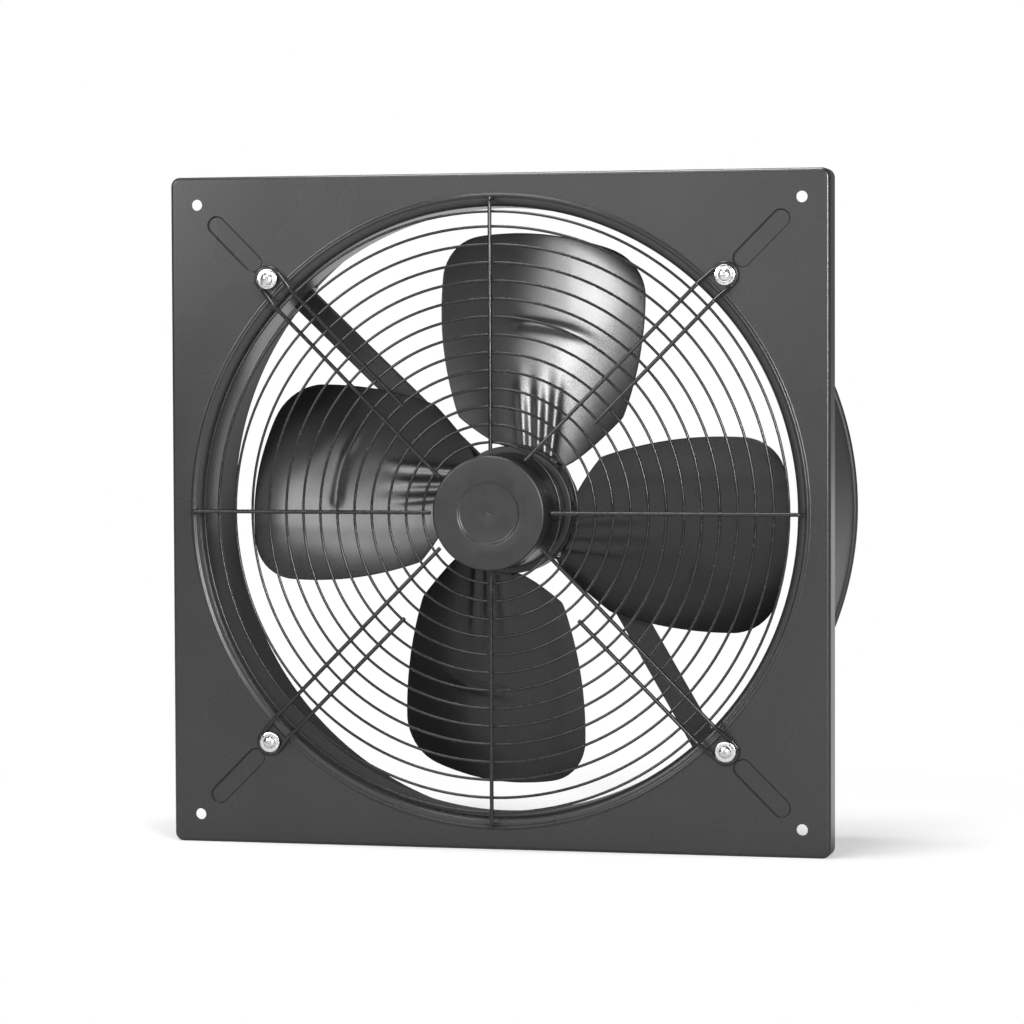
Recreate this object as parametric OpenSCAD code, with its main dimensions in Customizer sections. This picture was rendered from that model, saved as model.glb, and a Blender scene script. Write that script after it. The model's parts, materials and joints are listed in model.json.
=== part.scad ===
// Wall-mounted axial exhaust fan: square plate with a bell mouth, wire guard,
// four pressed blades on an external-rotor motor, and a round duct behind.
// Each piece is drawn lying on its back: X right, Y up the plate, Z towards the room.
// Depths are measured back from the plate's face. stand() turns a piece upright,
// so that the guard faces -Y, +Z is up, and the origin is between the wall bolts.

/* [Wall plate] */
// Width and height of the square plate
plate_w = 600; // [590:5:640]
// Thickness of the pressed sheet
plate_t = 2; // [1.5:0.5:3]
// Depth of the folded edge
fold_len = 25; // [20:1:35]
// Outer radius of the fold
fold_r = 3.5; // [2.5:0.5:5]
// Radius of the plate's corners
corner_r = 8; // [6:1:14]
// Distance between the wall bolt holes
wall_pitch = 550; // [540:5:560]
// Diameter of the wall bolt holes
wall_hole_d = 10; // [8:0.5:12]
// Width of the pressed diagonal recesses
recess_w = 15; // [10:1:20]
// Depth of the pressed recesses
recess_depth = 1.5; // [0.5:0.5:2]

/* [Bell mouth and duct] */
// Radius of the throat
throat_r = 273; // [268:1:274]
// Depth of the throat behind the plate's face
throat_len = 50; // [40:1:60]
// Radius of the rounded inlet
bell_r = 12; // [8:1:13]
// Outer radius of the duct
duct_r = 296; // [294:1:296]
// Depth of the duct behind the plate's face
duct_len = 168; // [166:1:200]
// Wall thickness of the duct
duct_t = 2; // [1.5:0.5:3]
// Radius of the rolled rear rim
rim_r = 3; // [2:0.5:3]

/* [Wire guard] */
// Number of evenly spaced rings
ring_count = 13; // [8:1:13]
// Radius of the smallest ring
first_ring_r = 62.3; // [60:0.1:70]
// Radius of the largest evenly spaced ring
last_ring_r = 252.3; // [245:0.1:256]
// Radius of the ring at the guard's edge
edge_ring_r = 265.5; // [262:0.5:268]
// Wire diameter of the rings
ring_wire = 2.2; // [1.8:0.1:2.6]
// Wire diameter of the spokes and corner loops
spoke_wire = 3.4; // [3:0.1:4]
// Distance from the plate's face to the rings
stand_off = 11; // [9:0.5:14]
// Distance between the guard screws
screw_pitch = 416; // [416:1:420]
// Width of a corner loop between its wire centres
loop_w = 21; // [20:0.5:21.5]
// Radius of the screws' washers
washer_r = 9.1; // [9:0.1:10.5]

/* [Impeller] */
// Radius of the blade tips
tip_r = 249.5; // [240:0.5:255]
// Widest part of a blade
blade_w = 179; // [160:1:185]
// Distance of a blade's middle line from the radial line
blade_offset = 23.4; // [18:0.2:28]
// Thickness of the blade sheet
blade_t = 2; // [1.5:0.5:3]
// Depth of the blade's middle, at half its length
blade_depth = 79; // [76:1:82]
// Rise of the blade per millimetre across it, at the tip
tip_pitch = 0.22; // [0.18:0.01:0.24]
// The same at the root
root_pitch = 0.34; // [0.28:0.01:0.36]
// Depth of the blade's curve between its two edges
camber = 10; // [6:1:11]
// Height of the stiffening flutes at the root
flute_h = 3; // [1:0.5:4]
// Depth of the pressed bead across the blade
bead_depth = 2.5; // [1:0.5:4]

/* [Motor] */
// Diameter of the rotor can
can_d = 102; // [100:1:104]
// How far the can stands out in front of the plate
can_front = 23; // [20:1:26]
// Depth of the can's open end
can_back = 108; // [106:1:109]
// Diameter of the shaft
shaft_d = 15; // [12:1:15]
// Outer diameter of the ball bearings
bearing_d = 35; // [32:1:35]
// Width of the ball bearings
bearing_w = 11; // [9:1:11]
// Number of balls in each bearing
ball_count = 8; // [7:1:8]
// Diameter of a ball
ball_d = 5.95; // [5:0.05:6]
// Outer radius of the ring that carries the blades
hub_r = 57.5; // [56:0.5:58]

/* [Motor arms] */
// Width of an arm
arm_w = 22; // [20:1:22]
// Sheet thickness of an arm
arm_t = 2.5; // [2:0.5:2.5]
// Depth of an arm's folded sides
arm_lip = 12; // [8:1:13]
// Direction of the upper arm, anticlockwise from the right
upper_angle = 136.4; // [134:0.2:140]
// Distance of the upper arm's middle line from the fan's axis
upper_offset = 8; // [7:0.5:9]
// Direction of the lower arm, anticlockwise from the right
lower_angle = 300.3; // [299:0.1:303]
// Distance of the lower arm's middle line from the fan's axis
lower_offset = 34; // [33:0.5:35]

/* [Hidden] */
$fn = 96;

black_paint = "#2b2b2d";
blade_paint = "#1d1d1f";
can_paint = "#4a4a4d";
zinc = "#c9ccd0";
steel = "#9a9ca0";
copper = "#a8653a";
plastic = "#222222";

gap = 0.1;            // clearance between pieces that meet without a fit
screw_d = 6;          // all machine screws are M6
screw_hole_d = 6.6;
hex_w = 10;           // across the flats of an M6 head or nut
nut_h = 5;

duct_in_r = duct_r - duct_t;
nut_notch_r = 7.5;    // notches in the duct's front end, round the guard's nuts
nut_notch_back = 13;
bead_ring_r = 2;      // half-round bead pressed round the inlet
bell_out_r = throat_r + bell_r;

spoke_r = spoke_wire / 2;
spoke_z = stand_off + ring_wire / 2 + spoke_r - 0.25;
loop_z = spoke_r + gap;
guard_screw_r = screw_pitch / 2 * sqrt(2);
washer_z = loop_z + sqrt(spoke_r * spoke_r - pow(max(0, loop_w / 2 - washer_r), 2)) + 0.05;
washer_t = 1.6;
spoke_start = 55;     // where spokes and long loop legs begin, from the fan's axis
short_leg_start = 122.5;

can_r = can_d / 2;
can_wall = 3;
can_front_wall = 4;
shaft_r = shaft_d / 2;
ball_pitch_r = (shaft_r + bearing_d / 2) / 2;
front_bearing = -4;   // depth of each bearing's front face
rear_bearing = 97;
flange_front = 112;   // depths of the stator flange's two faces
flange_back = 124;
flange_r = 50;
tube_r = 23;          // outside of the stator's bearing tube

hub_front = 56;       // depths of the blade ring's two ends
hub_back = 84;
foot_t = 2;

// Each arm's direction and distance from the axis, where it starts, and its two motor bolts
upper = [upper_angle, upper_offset, 21.5, [28.5, 42]];
lower = [lower_angle, lower_offset, -30, [-20, 20]];
arms = [upper, lower];
foot_len = 36;
foot_bolts = [15, 29];
gland_angle = 306;

module stand() rotate([90, 0, 0]) children();

// A cylinder whose front end lies at one depth and whose back end at another
module round_bar(r, front, back) translate([0, 0, -back]) cylinder(r = r, h = back - front);

module tube(r_out, r_in, front, back) difference() {
    round_bar(r_out, front, back);
    round_bar(r_in, front - 1, back + 1);
}

module hex_bar(across, front, back)
    translate([0, 0, -back]) cylinder(r = across / sqrt(3), h = back - front, $fn = 6);

module four_corners(pitch)
    for (x = [-1, 1], y = [-1, 1]) translate([x * pitch / 2, y * pitch / 2, 0]) children();

module four_turns() for (a = [0:90:270]) rotate([0, 0, a]) children();

// Wall plate

// Side view of the folded tray: the sheet's outline with its two front edges rounded
module fold_profile() {
    half = plate_w / 2;
    arc = [for (a = [0:15:90]) [half - fold_r + fold_r * cos(a), -fold_r + fold_r * sin(a)]];
    arc_left = [for (a = [90:15:180]) [fold_r - half + fold_r * cos(a), -fold_r + fold_r * sin(a)]];
    polygon(concat(arc, arc_left, [[-half, -fold_len], [half, -fold_len]]));
}

module round_square(w, r) {
    square([w - 2 * r, w], center = true);
    square([w, w - 2 * r], center = true);
    for (x = [-1, 1], y = [-1, 1]) translate([x, y] * (w / 2 - r)) circle(r = r);
}

module tray() {
    inner_w = plate_w - 2 * plate_t;
    difference() {
        intersection() {
            translate([0, 0, -fold_len]) linear_extrude(fold_len) round_square(plate_w, corner_r);
            rotate([90, 0, 0]) linear_extrude(plate_w + 2, center = true) fold_profile();
            rotate([90, 0, 90]) linear_extrude(plate_w + 2, center = true) fold_profile();
        }
        translate([0, 0, -fold_len - 1]) linear_extrude(fold_len + 1 - plate_t)
            round_square(inner_w, corner_r - plate_t);
    }
}

module slot(len, w, front, back) {
    translate([-len / 2, -w / 2, -back]) cube([len, w, back - front]);
    for (x = [-1, 1]) translate([x * len / 2, 0, 0]) round_bar(w / 2, front, back);
}

module diagonal_slots(w, front, back) {
    slot_start = 219.3 * sqrt(2);
    slot_end = 256.5 * sqrt(2);
    for (a = [45:90:315]) rotate([0, 0, a]) translate([(slot_start + slot_end) / 2, 0, 0])
        slot(slot_end - slot_start, w, front, back);
}

// The inlet: a pressed bead, a quarter-round bell and a straight throat with a rolled end
module bell_mouth() rotate_extrude($fn = 180) {
    translate([bell_out_r - 0.5, -plate_t]) square([7, plate_t]);
    translate([bell_out_r + bead_ring_r, -0.6]) circle(r = bead_ring_r, $fn = 24);
    intersection() {
        translate([throat_r, -bell_r]) square([bell_r, bell_r]);
        translate([bell_out_r, -bell_r]) difference() {
            circle(r = bell_r);
            circle(r = bell_r - plate_t);
        }
    }
    translate([throat_r, -throat_len]) square([plate_t, throat_len - bell_r + 0.5]);
    translate([throat_r + 1.8, -throat_len]) circle(r = 1.8, $fn = 24);
}

module mounting_plate() color(black_paint) stand() difference() {
    union() {
        difference() {
            tray();
            round_bar(bell_out_r + 1, -5, fold_len);
        }
        bell_mouth();
        diagonal_slots(recess_w + 2 * plate_t, plate_t / 2, plate_t + recess_depth);
    }
    diagonal_slots(recess_w, -1, recess_depth);
    four_corners(wall_pitch) round_bar(wall_hole_d / 2, -5, 10);
    four_corners(screw_pitch) round_bar(screw_hole_d / 2, -5, 10);
}

// Duct, with notches in its front end that clear the guard's nuts

module duct_ring() color(black_paint) stand() difference() {
    rotate_extrude($fn = 180) {
        translate([duct_in_r, -duct_len]) square([duct_t, duct_len - plate_t]);
        translate([bell_out_r + 6.7, -plate_t - duct_t]) square([duct_r - bell_out_r - 7, duct_t]);
        translate([duct_r + 0.5, -duct_len + rim_r]) circle(r = rim_r, $fn = 24);
    }
    for (arm = arms) at_foot_bolts(arm) cylinder(r = screw_hole_d / 2, h = 40, center = true);
    four_corners(screw_pitch) round_bar(nut_notch_r, 0, nut_notch_back);
}

// Wire guard

module wire(from, to, r) {
    run = to - from;
    len = norm(run);
    translate(from) rotate([0, acos(run[2] / len), atan2(run[1], run[0])]) cylinder(r = r, h = len);
}

module guard_rings() {
    step = (last_ring_r - first_ring_r) / (ring_count - 1);
    even_rings = [for (i = [0:ring_count - 1]) first_ring_r + i * step];
    for (r = concat(even_rings, [edge_ring_r])) translate([0, 0, stand_off])
        rotate_extrude($fn = 120) translate([r, 0]) circle(d = ring_wire, $fn = 8);
}

// A straight spoke whose outer end hooks back onto the bell mouth
module straight_spoke() {
    hook_x = throat_r + 4;
    hook_back = -1.4;
    wire([spoke_start, 0, spoke_z], [hook_x, 0, spoke_z], spoke_r);
    wire([hook_x, 0, spoke_z], [hook_x, 0, hook_back], spoke_r);
    translate([hook_x, 0, spoke_z]) sphere(r = spoke_r + 0.1, $fn = 32);
}

// A hairpin of wire that runs out over the rings, steps down and goes round a corner screw.
// One of its two legs is short.
module corner_loop(short_side) {
    step_x = [272, 291];
    for (side = [-1, 1]) {
        y = side * loop_w / 2;
        start = side == short_side ? short_leg_start : spoke_start;
        wire([start, y, spoke_z], [step_x[0], y, spoke_z], spoke_r);
        wire([step_x[0], y, spoke_z], [step_x[1], y, loop_z], spoke_r);
        wire([step_x[1], y, loop_z], [guard_screw_r, y, loop_z], spoke_r);
        translate([step_x[0], y, spoke_z]) sphere(r = spoke_r + 0.1, $fn = 32);
        translate([step_x[1], y, loop_z]) sphere(r = spoke_r + 0.05, $fn = 32);
    }
    translate([guard_screw_r, 0, loop_z]) rotate([0, 0, -90]) rotate_extrude(angle = 180, $fn = 48)
        translate([loop_w / 2, 0]) circle(r = spoke_r, $fn = 24);
}

module wire_guard() color(black_paint) stand() {
    guard_rings();
    four_turns() straight_spoke();
    for (a = [-45, 45, 135]) rotate([0, 0, a]) corner_loop(-1);
    rotate([0, 0, 225]) corner_loop(1);
}

// Pan-head screws with a cross recess
module guard_screws() color(zinc) stand() four_corners(screw_pitch) {
    seat = washer_z + washer_t;
    head_h = 4;
    dome_r = 8.2;
    round_bar(screw_d / 2, -seat - 1, plate_t + nut_h + 4);
    difference() {
        intersection() {
            round_bar(5.6, -seat - head_h, -seat);
            translate([0, 0, seat + head_h - dome_r]) sphere(r = dome_r);
        }
        for (a = [0, 90]) rotate([0, 0, a]) translate([-2.7, -0.6, seat + 1.6]) cube([5.4, 1.2, head_h]);
    }
}

module guard_washers() color(zinc) stand() four_corners(screw_pitch)
    tube(washer_r, screw_d / 2 + gap, -washer_z - washer_t, -washer_z);

module guard_nuts() color(zinc) stand() four_corners(screw_pitch) difference() {
    hex_bar(hex_w, plate_t, plate_t + nut_h);
    round_bar(screw_d / 2 + 0.05, 0, 20);
}

// Motor arms: folded channels across the motor's flange, each with a curved foot on the duct

module at_foot_bolts(arm) rotate([0, 0, arm[0] + asin(arm[1] / duct_in_r)]) for (b = foot_bolts)
    translate([duct_in_r, 0, -flange_back - b]) rotate([0, 90, 0]) children();

module at_motor_bolts(arm) rotate([0, 0, arm[0]]) for (x = arm[3])
    translate([x, arm[1], 0]) children();

module motor_arm(arm) difference() {
    rotate([0, 0, arm[0]]) intersection() {
        union() {
            translate([arm[2], arm[1] - arm_w / 2, -flange_back - arm_lip]) difference() {
                cube([duct_r - arm[2], arm_w, arm_lip]);
                translate([-1, arm_t, -1])
                    cube([duct_r - arm[2] + 2, arm_w - 2 * arm_t, arm_lip + 1 - arm_t]);
            }
            intersection() {
                tube(duct_in_r, duct_in_r - gap - arm_t, flange_back, flange_back + foot_len);
                translate([100, arm[1] - arm_w / 2, -duct_len]) cube([300, arm_w, duct_len]);
            }
        }
        round_bar(duct_in_r - gap, 50, duct_len);
    }
    at_motor_bolts(arm) round_bar(screw_hole_d / 2, 100, flange_back + arm_t + 1);
    at_foot_bolts(arm) cylinder(r = screw_hole_d / 2, h = 40, center = true);
}

module upper_arm() color(blade_paint) stand() motor_arm(upper);
module lower_arm() color(blade_paint) stand() motor_arm(lower);

module arm_bolts() color(zinc) stand() for (arm = arms) at_foot_bolts(arm) {
    translate([0, 0, -4]) cylinder(r = screw_d / 2, h = 14);
    translate([0, 0, -arm_t - gap - 4.2]) cylinder(r = hex_w / sqrt(3), h = 4, $fn = 6);
}

module arm_nuts() color(zinc) stand() for (arm = arms) at_foot_bolts(arm) difference() {
    translate([0, 0, duct_t + gap]) cylinder(r = hex_w / sqrt(3), h = nut_h, $fn = 6);
    cylinder(r = screw_d / 2 + 0.05, h = 20);
}

module motor_bolts() color(zinc) stand() for (arm = arms) at_motor_bolts(arm) {
    hex_bar(hex_w, flange_back + arm_t, flange_back + arm_t + 4);
    round_bar(screw_d / 2, flange_back - 9, flange_back + arm_t + 1);
}

// Motor, the still half

module stator_flange() color(can_paint) stand() difference() {
    union() {
        round_bar(flange_r, flange_front, flange_back);
        round_bar(tube_r, front_bearing - 1, flange_front + 1);
    }
    round_bar(15, front_bearing - 5, 130);
    round_bar(bearing_d / 2, front_bearing - 5, front_bearing + bearing_w);
    round_bar(bearing_d / 2, rear_bearing, flange_back - 4);
    round_bar(20, flange_back - 4, 130);
    for (arm = arms) at_motor_bolts(arm) round_bar(screw_d / 2 + 0.05, flange_back - 10, 130);
    at_gland() round_bar(6.05, 100, 130);
}

// Laminated core with open slots round its outside
module stator_core() color(steel) stand() translate([0, 0, -80]) linear_extrude(55) difference() {
    circle(r = 44.9);
    circle(r = tube_r + 0.05);
    for (a = [0:30:330]) rotate([0, 0, a]) {
        translate([31, -3]) square([10, 6]);
        translate([40, -1.5]) square([6, 3]);
    }
}

// The coils: a bundle at each end of the core, joined through the slots
module stator_windings() color(copper) stand() {
    for (ends = [[10, 24.8], [80.2, 95]]) rotate_extrude() translate([27, -ends[1]])
        square([14, ends[1] - ends[0]]);
    for (a = [0:30:330]) rotate([0, 0, a]) translate([31.2, -2.8, -85]) cube([9.6, 5.6, 70]);
}

module rear_cap() color(plastic) stand() difference() {
    round_bar(19.95, flange_back - 3.9, flange_back);
    round_bar(14, flange_back - 1, flange_back + 1);
}

module at_gland() rotate([0, 0, gland_angle]) translate([35, 0, 0]) children();

module cable_gland() color(plastic) stand() at_gland() difference() {
    union() {
        round_bar(6, flange_front + 1, flange_back + 1);
        hex_bar(15, flange_back, flange_back + 5);
        round_bar(6, flange_back + 4, flange_back + 14);
    }
    round_bar(3.5, 100, 150);
}

module gland_nut() color(plastic) stand() at_gland() difference() {
    union() {
        hex_bar(15, flange_back + 5.1, flange_back + 13);
        intersection() {
            round_bar(7, flange_back + 12, flange_back + 19);
            translate([0, 0, -flange_back - 12]) sphere(r = 7.2);
        }
    }
    round_bar(6.05, flange_back + 4, flange_back + 14.5);
    round_bar(3.5, flange_back + 10, flange_back + 25);
}

// Ball bearings

module race() rotate_extrude() translate([ball_pitch_r, 0]) circle(d = ball_d + 0.16, $fn = 48);

module bearing_outer(front) difference() {
    tube(bearing_d / 2, ball_pitch_r + 1.9, front, front + bearing_w);
    translate([0, 0, -front - bearing_w / 2]) race();
}

module bearing_inner(front) difference() {
    tube(ball_pitch_r - 1.9, shaft_r, front, front + bearing_w);
    translate([0, 0, -front - bearing_w / 2]) race();
}

module at_balls(front) for (i = [0:ball_count - 1]) rotate([0, 0, i * 360 / ball_count])
    translate([ball_pitch_r, 0, -front - bearing_w / 2]) children();

module bearing_balls(front) at_balls(front) sphere(d = ball_d, $fn = 48);

module bearing_cage(front) difference() {
    tube(ball_pitch_r + 0.9, ball_pitch_r - 0.9, front + 1.5, front + bearing_w - 1.5);
    at_balls(front) rotate([0, 90, 0]) cylinder(d = ball_d + 0.3, h = 6, center = true);
}

module front_bearing_outer() color(steel) stand() bearing_outer(front_bearing);
module rear_bearing_outer() color(steel) stand() bearing_outer(rear_bearing);
module front_bearing_inner() color(steel) stand() bearing_inner(front_bearing);
module rear_bearing_inner() color(steel) stand() bearing_inner(rear_bearing);
module front_bearing_balls() color(zinc) stand() bearing_balls(front_bearing);
module rear_bearing_balls() color(zinc) stand() bearing_balls(rear_bearing);
module front_bearing_cage() color(copper) stand() bearing_cage(front_bearing);
module rear_bearing_cage() color(copper) stand() bearing_cage(rear_bearing);

// Motor, the turning half

// Deep-drawn can with a rounded front edge, a shallow centre recess and a shaft boss inside
module rotor_can() color(can_paint) stand() difference() {
    edge_r = 5;
    union() {
        rotate_extrude() difference() {
            union() {
                translate([0, -can_back]) square([can_r, can_back + can_front - edge_r]);
                translate([0, can_front - edge_r - 1]) square([can_r - edge_r, edge_r + 1]);
                translate([can_r - edge_r, can_front - edge_r]) circle(r = edge_r - 0.001, $fn = 64);
            }
            translate([-1, -can_back - 1])
                square([can_r - can_wall + 1, can_back + 1 + can_front - can_front_wall]);
        }
        round_bar(13, -can_front + 2, front_bearing - 1.2);
    }
    round_bar(shaft_r, -can_front + can_front_wall + 1.5, 0);
    rotate_extrude() polygon([[0, can_front - 1.2], [27, can_front - 1.2], [29, can_front + 1],
        [0, can_front + 1]]);
    translate([0, 0, can_front + 0.6]) sphere(r = 2.6, $fn = 32);
}

module rotor_cage() color(steel) stand() tube(can_r - can_wall - 0.05, 45.4, 22, 83);

module shaft() color(steel) stand() difference() {
    round_bar(shaft_r, -can_front + can_front_wall + 1.6, rear_bearing + bearing_w + 4);
    tube(shaft_r + 1, shaft_r - 0.6, rear_bearing + bearing_w + 0.5, rear_bearing + bearing_w + 1.8);
}

// Retaining ring in the groove behind the rear bearing
module shaft_circlip() color(steel) stand() difference() {
    tube(10.5, shaft_r - 0.55, rear_bearing + bearing_w + 0.6, rear_bearing + bearing_w + 1.7);
    translate([0, -2.5, -rear_bearing - bearing_w - 5]) cube([20, 5, 10]);
}

module hub_ring() color(can_paint) stand() difference() {
    rotate_extrude() difference() {
        translate([can_r, -hub_back]) square([hub_r - can_r, hub_back - hub_front]);
        for (z = [hub_front, hub_back]) translate([hub_r, -z]) rotate(45) square(3, center = true);
    }
    at_rivets() cylinder(r = 2.55, h = 8, center = true);
}

// Blades

neck_v = 0.3;         // half-width of the fluted root, as a share of the blade's
widest_h = 190;       // distance from the axis at which a blade is widest
side_curve = 0.0016;  // how fast its sides draw in away from there
root_rise = [29, 46]; // how far its lower corners lift off the hub, left and right
tip_corner = 27;      // how far its tip corners are rounded down
tip_corner_v = 0.72;  // where that rounding starts
lean = 0.1;           // how far it leans back for each millimetre outwards
root_r = 55;
bead_r = 168;
bead_half = 9;
bead_reach = [-5, 70];
flute_end = [92, 128];
root_rows = 8;
bead_rows = 6;
tip_rows = 6;
row_count = root_rows + bead_rows + tip_rows;
side_cols = 7;
neck_cols = 18;
col_count = 2 * side_cols + neck_cols;

function half_w(h) = blade_w / 2 - side_curve * (h - widest_h) * (h - widest_h);
function smooth(x) = let (c = max(0, min(1, x))) c * c * (3 - 2 * c);

// Place of column j across the blade, from -1 at the leading edge to 1 at the trailing edge
function col_v(j) = j < side_cols ? -neck_v - (1 - neck_v) * sin(90 * (side_cols - j) / side_cols)
    : j > side_cols + neck_cols
        ? neck_v + (1 - neck_v) * sin(90 * (j - side_cols - neck_cols) / side_cols)
        : neck_v * (2 * (j - side_cols) / neck_cols - 1);

function root_h(v) = let (
    t = blade_offset + max(-neck_v, min(neck_v, v)) * half_w(root_r),
    x = max(0, abs(v) - neck_v) / (1 - neck_v)
) sqrt(root_r * root_r - t * t) + root_rise[v < 0 ? 0 : 1] * x * x;

function tip_h(v) = let (
    t = blade_offset + v * half_w(230),
    x = max(0, abs(v) - tip_corner_v) / (1 - tip_corner_v)
) sqrt(tip_r * tip_r - t * t) - tip_corner * (1 - sqrt(1 - x * x));

function arc_h(r, v) = let (t = blade_offset + v * half_w(r)) sqrt(r * r - t * t);

// Height of row i in column v: from the root to the bead, across it, and on to the tip
function row_h(i, v) = i <= root_rows
    ? let (low = root_h(v), high = arc_h(bead_r - bead_half, v)) low + (high - low) * i / root_rows
    : i <= root_rows + bead_rows
        ? arc_h(bead_r - bead_half + 2 * bead_half * (i - root_rows) / bead_rows, v)
        : let (low = arc_h(bead_r + bead_half, v), high = tip_h(v))
            low + (high - low) * sin(90 * (i - root_rows - bead_rows) / tip_rows);

// Three flutes side by side that fade out up the blade
function flutes(h, v) = abs(v) > neck_v ? 0
    : flute_h / 2 * (1 + cos(540 * v / neck_v))
        * (1 - smooth((h - flute_end[0]) / (flute_end[1] - flute_end[0])));

function bead(h, t) = let (
    off = (norm([h, t]) - bead_r) / 4.5,
    ends = smooth((t - bead_reach[0]) / 14) * smooth((bead_reach[1] - t) / 14)
) bead_depth * exp(-off * off) * ends;

function depth(h, v) = let (
    t = blade_offset + v * half_w(h),
    pitch = root_pitch + (tip_pitch - root_pitch) * (h - root_r) / (tip_r - root_r)
) blade_depth + lean * (h - 150) + pitch * (t - blade_offset) + camber * v * v
    - flutes(h, v) + bead(h, t);

function blade_point(i, j, back) = let (v = col_v(j), h = row_h(i, v))
    [blade_offset + v * half_w(h), h, -depth(h, v) - back];

module blade() {
    cols = col_count + 1;
    rows = row_count + 1;
    count = cols * rows;
    points = [for (back = [0, blade_t], i = [0:row_count], j = [0:col_count]) blade_point(i, j, back)];
    faces = concat(
        [for (i = [0:row_count - 1], j = [0:col_count - 1]) let (a = i * cols + j)
            each [[a, a + cols, a + 1], [a + 1, a + cols, a + cols + 1]]],
        [for (i = [0:row_count - 1], j = [0:col_count - 1]) let (a = count + i * cols + j)
            each [[a, a + 1, a + cols], [a + 1, a + cols + 1, a + cols]]],
        [for (j = [0:col_count - 1], end = [0, row_count]) let (a = end * cols + j, b = a + count)
            each end == 0 ? [[a, a + 1, b], [a + 1, b + 1, b]] : [[a, b, a + 1], [a + 1, b, b + 1]]],
        [for (i = [0:row_count - 1], end = [0, col_count]) let (a = i * cols + end, b = a + count)
            each end == 0 ? [[a, b, a + cols], [a + cols, b, b + cols]]
                : [[a, a + cols, b], [a + cols, b + cols, b]]]
    );
    polyhedron(points, faces);
}

module blade_1() color(blade_paint) stand() blade();
module blade_2() color(blade_paint) stand() rotate([0, 0, -90]) blade();
module blade_3() color(blade_paint) stand() rotate([0, 0, -180]) blade();
module blade_4() color(blade_paint) stand() rotate([0, 0, -270]) blade();

// Curved feet that carry the blades, each held by two rivets
foot_mid = 66;        // angle of the first foot's middle, anticlockwise from the right
foot_half = 25;       // half the angle that it covers
rivet_places = [[foot_mid + 17, 78], [foot_mid - 17, 62]];

module at_rivets() for (a = [0:90:270], p = rivet_places)
    rotate([0, 0, a + p[0]]) translate([hub_r, 0, -p[1]]) rotate([0, 90, 0]) children();

module blade_feet() color(blade_paint) stand() difference() {
    four_turns() rotate([0, 0, foot_mid - foot_half]) translate([0, 0, -hub_back + 2])
        rotate_extrude(angle = 2 * foot_half)
            translate([hub_r + gap, 0]) square([foot_t, hub_back - hub_front - 4]);
    at_rivets() cylinder(r = 2.55, h = 8, center = true);
}

module blade_rivets() color(zinc) stand() at_rivets() {
    translate([0, 0, -4]) cylinder(r = 2.5, h = 6.5);
    translate([0, 0, foot_t + 0.2]) cylinder(r1 = 4, r2 = 2.8, h = 1.8);
}

mounting_plate();
duct_ring();
wire_guard();
guard_screws();
guard_washers();
guard_nuts();
upper_arm();
lower_arm();
arm_bolts();
arm_nuts();
motor_bolts();
stator_flange();
stator_core();
stator_windings();
rear_cap();
front_bearing_outer();
rear_bearing_outer();
cable_gland();
gland_nut();
rotor_can();
rotor_cage();
shaft();
shaft_circlip();
front_bearing_inner();
rear_bearing_inner();
hub_ring();
blade_feet();
blade_rivets();
blade_1();
blade_2();
blade_3();
blade_4();
front_bearing_balls();
front_bearing_cage();
rear_bearing_balls();
rear_bearing_cage();
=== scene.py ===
import json
from math import asin, cos, degrees, exp, hypot, pi, radians, sin, sqrt, tan

import bmesh
import bpy
from mathutils import Matrix, Vector

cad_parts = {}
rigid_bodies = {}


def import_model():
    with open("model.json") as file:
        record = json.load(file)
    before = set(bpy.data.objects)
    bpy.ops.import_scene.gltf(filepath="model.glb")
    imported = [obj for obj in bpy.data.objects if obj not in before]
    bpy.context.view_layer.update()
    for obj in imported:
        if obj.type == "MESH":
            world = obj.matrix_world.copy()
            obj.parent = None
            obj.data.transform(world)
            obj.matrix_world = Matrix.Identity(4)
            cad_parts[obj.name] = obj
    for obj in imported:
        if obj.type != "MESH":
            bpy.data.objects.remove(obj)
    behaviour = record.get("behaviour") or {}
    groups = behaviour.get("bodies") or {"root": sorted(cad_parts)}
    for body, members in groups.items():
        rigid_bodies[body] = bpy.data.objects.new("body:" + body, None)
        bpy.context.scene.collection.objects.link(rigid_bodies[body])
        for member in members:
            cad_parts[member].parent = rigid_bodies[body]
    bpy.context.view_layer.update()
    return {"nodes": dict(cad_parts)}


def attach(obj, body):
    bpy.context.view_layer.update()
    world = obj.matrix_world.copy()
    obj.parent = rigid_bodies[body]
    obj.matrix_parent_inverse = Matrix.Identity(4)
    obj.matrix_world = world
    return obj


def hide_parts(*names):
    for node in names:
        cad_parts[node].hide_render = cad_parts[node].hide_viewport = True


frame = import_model()

bl_info = {
    "name": "Wall Exhaust Fan",
    "version": (1, 0, 0),
    "blender": (4, 5, 0),
    "location": "View3D > Sidebar > Exhaust Fan",
    "description": "Models a wall-plate exhaust fan piece by piece around its CAD frame",
    "category": "Object",
}

MM = 0.001
NODES = frame["nodes"]

# Turns about the fan's axis, in degrees
QUARTERS = (0, 90, 180, 270)
DIAGONALS = (45, 135, 225, 315)

# Places and sizes in millimetres.
# Each motor arm's direction and distance from the axis, and where its two motor bolts stand
ARMS = ((136.4, 8, (28.5, 42)), (300.3, 34, (-20, 20)))
# The duct's inner radius, and how far back the bolts of the arms' feet go through it
DUCT_INSIDE = 294
FOOT_BOLTS = (139, 153)
# How far along X and along Z the middles of a recess's round ends stand from the axis
SLOT_START, SLOT_END = 222.6, 256.5
# M6 fasteners: radius of the shank, of its hole, and of a nut's bore, width across flats, pitch
M6, M6_HOLE, M6_BORE, M6_FLATS, M6_PITCH = 3.0, 3.3, 3.05, 10, 1.0
# How far the middle of the guard's rings and spokes stands in front of the plate
RINGS_OUT, SPOKES_OUT = 11.0, 13.55


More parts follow.
